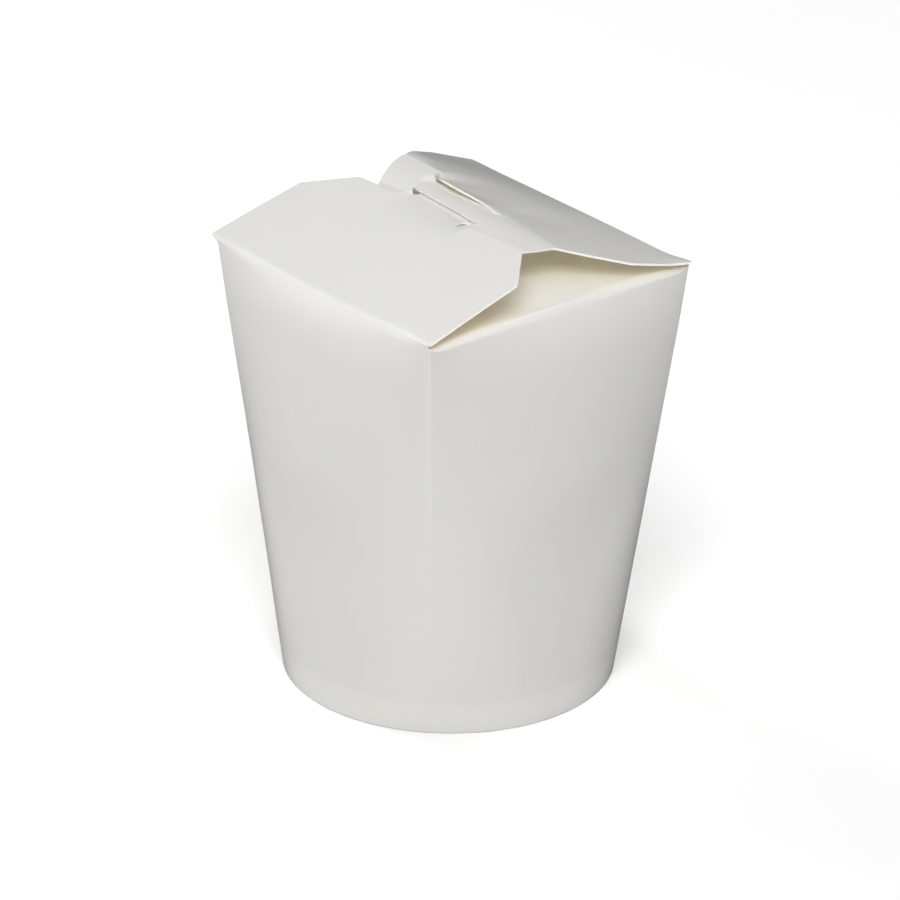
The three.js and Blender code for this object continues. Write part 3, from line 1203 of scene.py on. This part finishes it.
        sheet = self.add_wall(mesh, Wall.REAR, columns, flap_point, len(body) - 1, painted_light_and_whitening)
        first_covered = bridge_row - 1 - self.covered_rows
        opened = []
        for face in {face for vert in sheet for face in vert.link_faces}:
            places = [columns[sheet[vert][0]] for vert in face.verts]
            row = min(sheet[vert][1] for vert in face.verts)
            if min(places) < -right - CLOSE or max(places) > -left + CLOSE:
                continue
            if row in (bridge_row - 1, lip_row - 1):
                opened.append(face)
            elif first_covered <= row < lip_row - 1:
                face.material_index = COVERED
        bmesh.ops.delete(mesh, geom=opened, context="FACES_ONLY")

    def common_painted_light_and_whitening(self, row: int) -> float:
        """The painted light and whitening of a row of the hem, the foot, a wall or a fold: a
        painted highlight on a fold's two edges, and a lighter foot band, partly the hem's double
        board and partly painted bounce light from the floor.

        Args:
            row: The row.

        Returns:
            The painted light and whitening.
        """
        last = len(self.ring) - 1
        if row >= last:
            # Painted highlight on a fold's two edges.
            return self.fold_edge_highlight if row in (last, last + self.fold_steps) else 0.0
        kind, value = self.ring[row]
        height = value * self.form.wall_top if kind == "wall" else 0.0
        hem = self.form.hem_depth
        # Lighter foot band: partly the hem's double board, partly painted bounce light from the
        # floor.
        return self.foot_hem_and_painted_bounce * (1.0 - smooth(height, hem - self.foot_fade, hem))

    def build(self) -> Object:
        """Models the blank, gives it its thickness, and rounds its cut edges.

        Returns:
            The finished piece.
        """
        mesh = bmesh.new()
        mesh.loops.layers.uv.new("sheet")
        # Per vertex, the painted light and shade, with some crease and hem whitening, that scales
        # the coat's colour.
        mesh.verts.layers.float.new("painted_light_and_whitening")
        for wall in (Wall.RIGHT, Wall.LEFT):
            self.side_sheet(mesh, wall)
        self.front_sheet(mesh)
        self.rear_sheet(mesh)
        piece = finish_mesh(mesh, "carton_board", self.weld)
        thickness = piece.modifiers.new("board", "SOLIDIFY")
        thickness.thickness = self.form.board * MM
        thickness.offset = -1.0
        thickness.material_offset = INNER_STEP
        thickness.material_offset_rim = RIM_STEP
        edges = piece.modifiers.new("cut edges", "BEVEL")
        edges.width = self.bevel * MM
        edges.material = RIM_STEP
        edges.segments = self.bevel_segments
        edges.limit_method = "ANGLE"
        edges.angle_limit = math.radians(self.bevel_angle)
        edges.harden_normals = True
        return piece


def add_sheet(
    mesh: BMesh,
    columns: Sequence[float],
    rows: int,
    point: PlacePoint,
    wall: Wall,
    painted_light_and_whitening: PlacePaintedLightAndWhitening = lambda place, row: 0.0,
) -> dict[BMVert, tuple[int, int]]:
    """Adds a grid of board and bends it to its place.

    Args:
        mesh: The mesh that the grid joins.
        columns: The places of the grid's columns along the wall, from -1 to 1.
        rows: How many rows of vertices the grid has.
        point: Gives the place of a vertex by its column's place and its row.
        wall: The wall that the sheet belongs to, for its place on the flat blank.
        painted_light_and_whitening: How much the coat's colour is scaled there: above 0 painted
            highlights and bounce light, with some whitening of the ridge's crease and the hem;
            below 0 painted shade and shadow.

    Returns:
        The column and row of each vertex.
    """
    half = 0.5
    across, up = len(columns) - 1, rows - 1
    made = bmesh.ops.create_grid(mesh, x_segments=across, y_segments=up, size=half)
    cells = {
        vert: (round((vert.co.x + half) * across), round((vert.co.y + half) * up))
        for vert in made["verts"]
    }
    uv_layer = mesh.loops.layers.uv.active
    painted_light_and_whitening_layer = mesh.verts.layers.float.active
    for vert, (column, row) in cells.items():
        vert.co = Vector(point(columns[column], row))
        vert[painted_light_and_whitening_layer] = painted_light_and_whitening(columns[column], row)
    for face in {face for vert in cells for face in vert.link_faces}:
        for loop in face.loops:
            column, _ = cells[loop.vert]
            along = (wall.value + 0.5 + columns[column] / 2.0) * UV_WIDTH
            loop[uv_layer].uv = (along, loop.vert.co.z * UV_HEIGHT)
    return cells


def add_object(name: str, data: ID) -> Object:
    """Makes an object of a mesh, a light or a camera and puts it in the scene.

    Args:
        name: Its name.
        data: The data.

    Returns:
        The object.
    """
    thing = bpy.data.objects.new(name, data)
    bpy.context.scene.collection.objects.link(thing)
    return thing


def finish_mesh(mesh: BMesh, name: str, weld: float = 0.0) -> Object:
    """Turns a finished bmesh into a smooth-shaded object at the origin.

    Args:
        mesh: The bmesh; it is freed.
        name: Name of the piece.
        weld: Distance in millimetres within which vertices are merged. The mesh is then
            in millimetres too, and without it in metres and left as it is.

    Returns:
        The new object.
    """
    if weld:
        bmesh.ops.remove_doubles(mesh, verts=mesh.verts, dist=weld)
        bmesh.ops.recalc_face_normals(mesh, faces=mesh.faces)
        bmesh.ops.scale(mesh, vec=(MM, MM, MM), verts=mesh.verts)
    for face in mesh.faces:
        face.smooth = True
    data = bpy.data.meshes.new(name)
    mesh.to_mesh(data)
    mesh.free()
    return add_object(name, data)


# ---- the base


@dataclass
class BasePlate:
    """The round base of board, pressed into the hem, in millimetres."""

    form: BoxForm
    height: float = 7.4
    radius: float = 43.6
    steps: int = 128
    weld: float = 0.001
    ring: Curve = (
        (6.0, 0.0), (5.2, 0.12), (4.4, 0.45), (3.4, 0.5), (2.4, 0.45), (1.6, 0.12),
        (0.9, 0.0), (0.15, 0.04), (0.0, 0.2),
    )

    def build(self) -> Object:
        """Models the plate: a disc with a shallow pressed ring near its rim.

        Returns:
            The finished piece.
        """
        top = self.height + self.form.board
        profile = [(0.0, self.height)]
        profile += [(self.radius - inset, self.height + rise) for inset, rise in self.ring]
        profile += [(self.radius, top), (0.0, top)]
        mesh = bmesh.new()
        verts = [mesh.verts.new((radius, 0.0, height)) for radius, height in profile]
        edges = [mesh.edges.new(pair) for pair in zip(verts, verts[1:])]
        bmesh.ops.spin(
            mesh, geom=verts + edges, axis=(0.0, 0.0, 1.0), cent=(0.0, 0.0, 0.0),
            angle=2.0 * math.pi, steps=self.steps, use_merge=True,
        )
        return finish_mesh(mesh, "base_plate", self.weld)


# ---- finishes


class ShaderBuilder:
    """Short ways to add nodes to a material or to a node group."""

    def __init__(self, tree: NodeTree) -> None:
        """Keeps the node tree that nodes are added to."""
        self.tree = tree

    def join(self, value: object, target: NodeSocket) -> None:
        """Links a socket to an input, or sets the input to a plain value.

        Args:
            value: The socket or the plain value.
            target: The input.
        """
        if isinstance(value, NodeSocket):
            self.tree.links.new(value, target)
        else:
            target.default_value = value

    def feed(self, node: Node, **values: object) -> Node:
        """Feeds a node's inputs.

        Args:
            node: The node.
            values: Sockets or plain values by the input's name, with _ for a space.

        Returns:
            The same node.
        """
        for name, value in values.items():
            self.join(value, node.inputs[name.replace("_", " ")])
        return node

    def add(self, kind: str, **values: object) -> Node:
        """Adds a node, sets its properties and feeds its inputs.

        Args:
            kind: Blender's name of the node type.
            values: Properties by name, or inputs by name with _ for a space.

        Returns:
            The new node.
        """
        node = self.tree.nodes.new(kind)
        for name, value in values.items():
            if hasattr(node, name):
                setattr(node, name, value)
            else:
                self.feed(node, **{name: value})
        return node

    def math(self, operation: str, first: object, second: object) -> NodeSocket:
        """Adds a Math node on two sockets or numbers and returns its result.

        Args:
            operation: Its operation.
            first: The first input.
            second: The second input.

        Returns:
            The result's socket.
        """
        node = self.add("ShaderNodeMath", operation=operation)
        for value, target in zip((first, second), node.inputs):
            self.join(value, target)
        return node.outputs[0]

    def mix(
        self, factor: object, first: object, second: object, blend_type: str = "MIX"
    ) -> NodeSocket:
        """Adds a Mix node on two colours and returns its result.

        Args:
            factor: Share of the second colour.
            first: The first colour.
            second: The second colour.
            blend_type: Blender's name of the blend.

        Returns:
            The result's socket.
        """
        node = self.add("ShaderNodeMix", data_type="RGBA", blend_type=blend_type)
        return self.feed(node, Factor=factor, A=first, B=second).outputs["Result"]


def new_group(
    name: str, inputs: dict[str, float], outputs: Sequence[str]
) -> tuple[ShaderBuilder, Node, Node]:
    """Makes an empty shader node group with a Vector input and number sockets.

    Args:
        name: Name of the group.
        inputs: Default value by input name.
        outputs: Names of the outputs.

    Returns:
        A builder on the group's tree, its input node and its output node.
    """
    tree = bpy.data.node_groups.new(name, "ShaderNodeTree")
    tree.interface.new_socket("Vector", in_out="INPUT", socket_type="NodeSocketVector")
    for label, value in inputs.items():
        socket = tree.interface.new_socket(label, in_out="INPUT", socket_type="NodeSocketFloat")
        socket.default_value = value
    for label in outputs:
        tree.interface.new_socket(label, in_out="OUTPUT", socket_type="NodeSocketFloat")
    group = ShaderBuilder(tree)
    return group, group.add("NodeGroupInput"), group.add("NodeGroupOutput")


def fibre_group() -> NodeTree:
    """Paper grain: fine streaks along the sheet and a soft cloudiness.

    Returns:
        The group, with Streaks and Clouds from 0 to 1.
    """
    group, start, end = new_group("board_fibre", {"Fineness": 900.0}, ("Streaks", "Clouds"))
    place = start.outputs["Vector"]
    stretch = group.add("ShaderNodeMapping", Vector=place, Scale=(1.0, 1.0, 0.12))
    streaks = group.add(
        "ShaderNodeTexNoise", Vector=stretch.outputs["Vector"],
        Scale=start.outputs["Fineness"], Detail=4.0, Roughness=0.65,
    )
    clouds = group.add("ShaderNodeTexNoise", Vector=place, Scale=55.0, Detail=3.0, Roughness=0.55)
    group.feed(end, Streaks=streaks.outputs["Fac"], Clouds=clouds.outputs["Fac"])
    return group.tree


def speck_group() -> NodeTree:
    """Tiny dark specks of pulp, scattered and uneven.

    Returns:
        The group, with Specks from 0 to 1.
    """
    group, start, end = new_group("pulp_specks", {"Density": 420.0, "Size": 0.12}, ("Specks",))
    cells = group.add(
        "ShaderNodeTexVoronoi", feature="F1",
        Vector=start.outputs["Vector"], Scale=start.outputs["Density"],
    )
    choice = group.add("ShaderNodeSeparateColor", Color=cells.outputs["Color"])
    chosen = group.math("GREATER_THAN", choice.outputs["Red"], 0.7)
    size = group.math("MULTIPLY", choice.outputs["Green"], start.outputs["Size"])
    near = group.math("LESS_THAN", cells.outputs["Distance"], size)
    group.feed(end, Specks=group.math("MULTIPLY", near, chosen))
    return group.tree


@dataclass(frozen=True)
class BoardFinish:
    """A paperboard face: its colour, gloss, grain and specks."""

    name: str
    color: Point
    shade: Point
    roughness: float = 0.42
    specular: float = 0.5
    coat: float = 0.0
    coat_roughness: float = 0.2
    grain_depth: float = 0.00002
    grain_gloss: float = 0.10
    cloud_share: float = 0.7
    streak_share: float = 0.45
    speck_strength: float = 0.25
    speck_color: Point = (0.32, 0.29, 0.25)
    # How strongly the painted light and whitening attribute scales the base colour.
    painted_light_and_whitening_gain: float = 0.16
    through: float = 0.0
    through_reach: float = 0.0012
    through_tint: Point = (1.0, 0.75, 0.4)

    def make(self, fibre: NodeTree, specks: NodeTree) -> Material:
        """Builds the material.

        Args:
            fibre: The paper grain group.
            specks: The specks group.

        Returns:
            The material.
        """
        material = bpy.data.materials.new(self.name)
        material.use_nodes = True
        nodes = ShaderBuilder(material.node_tree)
        place = nodes.add("ShaderNodeTexCoord").outputs["Object"]
        grain = nodes.add("ShaderNodeGroup", node_tree=fibre, Vector=place)
        dots = nodes.add("ShaderNodeGroup", node_tree=specks, Vector=place)
        painted_light_and_whitening = nodes.add("ShaderNodeAttribute", attribute_name="painted_light_and_whitening")
        streaks = grain.outputs["Streaks"]
        cloudy = nodes.math("MULTIPLY", grain.outputs["Clouds"], self.cloud_share)
        streaky = nodes.math("MULTIPLY", streaks, self.streak_share)
        share = nodes.math("ADD", cloudy, streaky)
        tone = nodes.mix(share, (*self.shade, 1.0), (*self.color, 1.0))
        strength = nodes.math("MULTIPLY", dots.outputs["Specks"], self.speck_strength)
        dotted = nodes.mix(strength, tone, (*self.speck_color, 1.0))
        # Painted highlights, shade and shadow, with the whitening of the ridge and hem, scale the
        # base colour.
        scaled_painted_light_and_whitening = nodes.math("MULTIPLY", painted_light_and_whitening.outputs["Fac"], self.painted_light_and_whitening_gain)
        gain = nodes.math("ADD", scaled_painted_light_and_whitening, 1.0)
        uneven = nodes.math("MULTIPLY", streaks, self.grain_gloss)
        bump = nodes.add("ShaderNodeBump", Distance=self.grain_depth, Strength=0.6, Height=streaks)
        nodes.feed(
            material.node_tree.nodes["Principled BSDF"],
            Base_Color=nodes.mix(1.0, dotted, gain, "MULTIPLY"),
            Roughness=nodes.math("ADD", uneven, self.roughness - self.grain_gloss / 2.0),
            Normal=bump.outputs["Normal"],
            Specular_IOR_Level=self.specular,
            Coat_Weight=self.coat,
            Coat_Roughness=self.coat_roughness,
            Subsurface_Weight=self.through,
            Subsurface_Radius=self.through_tint,
            Subsurface_Scale=self.through_reach,
        )
        return material


COATED = BoardFinish(
    name="coated_white", color=(0.735, 0.73, 0.70), shade=(0.70, 0.695, 0.665),
    roughness=0.40, coat=0.8, coat_roughness=0.18,
)
INSIDE = BoardFinish(
    name="inside_cream", color=(0.98, 0.795, 0.49), shade=(0.96, 0.755, 0.455),
    roughness=0.7, specular=0.3, speck_strength=0.15, through=1.0, through_reach=0.020,
)
CUT_EDGE = BoardFinish(
    name="cut_edge_white", color=(0.92, 0.91, 0.87), shade=(0.88, 0.87, 0.82),
    roughness=0.8, specular=0.2, speck_strength=0.0,
)
BASE = BoardFinish(
    name="base_warm_white", color=(0.72, 0.70, 0.63), shade=(0.67, 0.65, 0.58),
    roughness=0.6, specular=0.3,
)
COVERED_INSIDE = BoardFinish(
    name="covered_cream", color=(0.80, 0.68, 0.46), shade=(0.76, 0.64, 0.42),
    roughness=0.7, specular=0.3, speck_strength=0.15,
)


# ---- the studio


def direction(azimuth: float, elevation: float) -> Vector:
    """The way from the box to the camera or to a light, from its angles in degrees.

    Args:
        azimuth: Angle from the front, towards +X.
        elevation: Angle above the floor.

    Returns:
        The direction.
    """
    turn, lift = math.radians(azimuth), math.radians(elevation)
    flat = math.cos(lift)
    return Vector((math.sin(turn) * flat, -math.cos(turn) * flat, math.sin(lift)))


@dataclass
class Camera:
    """The camera, by its direction and distance, in millimetres and degrees."""

    azimuth: float = 50.339
    elevation: float = 25.074
    roll: float = 0.641
    distance: float = 2000.0
    focal_share: float = 7370.36 / 900.0
    target_right: float = -0.177
    target_height: float = 63.10
    sensor: float = 36.0
    view_end: float = 20.0

    def build(self) -> None:
        """Adds the camera and makes it the scene's own."""
        back, right = direction(self.azimuth, self.elevation), direction(self.azimuth + 90.0, 0.0)
        axes = Matrix((right, back.cross(right), back)).transposed().to_4x4()
        place = right * self.target_right + Vector((0.0, 0.0, self.target_height))
        place += back * self.distance
        data = bpy.data.cameras.new("camera")
        data.sensor_width = self.sensor
        data.lens = self.focal_share * self.sensor
        data.clip_end = self.view_end
        camera = add_object("camera", data)
        roll = Matrix.Rotation(math.radians(self.roll), 4, "Z")
        camera.matrix_world = Matrix.Translation(place * MM) @ axes @ roll
        bpy.context.scene.camera = camera


@dataclass(frozen=True)
class SoftLight:
    """An area light that aims at the box."""

    name: str
    azimuth: float
    elevation: float
    power: float
    distance: float = 1.6
    size: float = 0.8

    def build(self, aim: Vector) -> None:
        """Adds the light.

        Args:
            aim: The point that it faces, in metres.
        """
        data = bpy.data.lights.new(self.name, "AREA")
        data.size = self.size
        data.energy = self.power
        back = direction(self.azimuth, self.elevation)
        light = add_object(self.name, data)
        light.rotation_euler = back.to_track_quat("Z", "Y").to_euler()
        light.location = aim + back * self.distance


LIGHTS = (
    SoftLight("left_side", -80.0, 15.0, 21.0),
    SoftLight("front_left", -45.0, 15.0, 0.9),
    SoftLight("front", -10.0, 15.0, 1.5),
    SoftLight("front_right", 25.0, 15.0, 1.2),
    SoftLight("front_top", 5.0, 70.0, 1.9),
    SoftLight("over_camera", 50.0, 50.0, 19.2),
    SoftLight("right_top", 95.0, 70.0, 0.7),
    SoftLight("right_high", 140.0, 50.0, 3.3),
    SoftLight("rear", 180.0, 20.0, 7.2),
    SoftLight("rear_high", 185.0, 55.0, 1.0),
    SoftLight("rear_top", 200.0, 72.0, 2.1),
)


@dataclass
class Studio:
    """The plain pale floor and the soft lights."""

    lights: tuple[SoftLight, ...] = LIGHTS
    aim_height: float = 0.06
    floor_level: float = 0.96
    floor_roughness: float = 0.9
    floor_half: float = 4.0
    world_level: float = 0.0

    def build(self) -> None:
        """Adds the floor, the lights and the surrounding light."""
        mesh = bmesh.new()
        bmesh.ops.create_grid(mesh, x_segments=2, y_segments=2, size=self.floor_half)
        floor = finish_mesh(mesh, "floor")
        material = bpy.data.materials.new("floor_white")
        material.use_nodes = True
        shader = material.node_tree.nodes["Principled BSDF"]
        shader.inputs["Base Color"].default_value = (*[self.floor_level] * 3, 1.0)
        shader.inputs["Roughness"].default_value = self.floor_roughness
        dress(floor, (material,))
        floor.visible_glossy = False
        for light in self.lights:
            light.build(Vector((0.0, 0.0, self.aim_height)))
        world = bpy.data.worlds.new("surroundings")
        world.use_nodes = True
        world.node_tree.nodes["Background"].inputs["Strength"].default_value = self.world_level
        bpy.context.scene.world = world
        bpy.context.scene.view_settings.view_transform = "Standard"


# ---- putting it together


def dress(piece: Object, materials: Sequence[Material]) -> None:
    """Gives a piece its materials, in order."""
    for material in materials:
        piece.data.materials.append(material)


def attach(piece: Object, node: str) -> None:
    """Lets a piece ride on the body and the solid it stands for.

    Args:
        piece: The piece.
        node: The solid's node.
    """
    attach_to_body(piece, "root")
    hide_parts(node)
    LOG.info("%s: %d faces, stands for %s", piece.name, len(piece.data.polygons), node)


def main() -> None:
    """Builds the box and the studio."""
    logging.basicConfig(level=logging.INFO, format="%(message)s")
    form = BoxForm()
    fibre, specks = fibre_group(), speck_group()
    coated, inside, cut_edge, base, covered = (
        finish.make(fibre, specks) for finish in (COATED, INSIDE, CUT_EDGE, BASE, COVERED_INSIDE)
    )

    carton = Carton(form, FrontFlapForm(), RearFlapForm()).build()
    dress(carton, (coated, inside, cut_edge, coated, covered, cut_edge))
    attach(carton, "carton")

    plate = BasePlate(form).build()
    dress(plate, (base,))
    attach(plate, "base_disc")

    Studio().build()
    Camera().build()


if __name__ == "__main__":
    main()
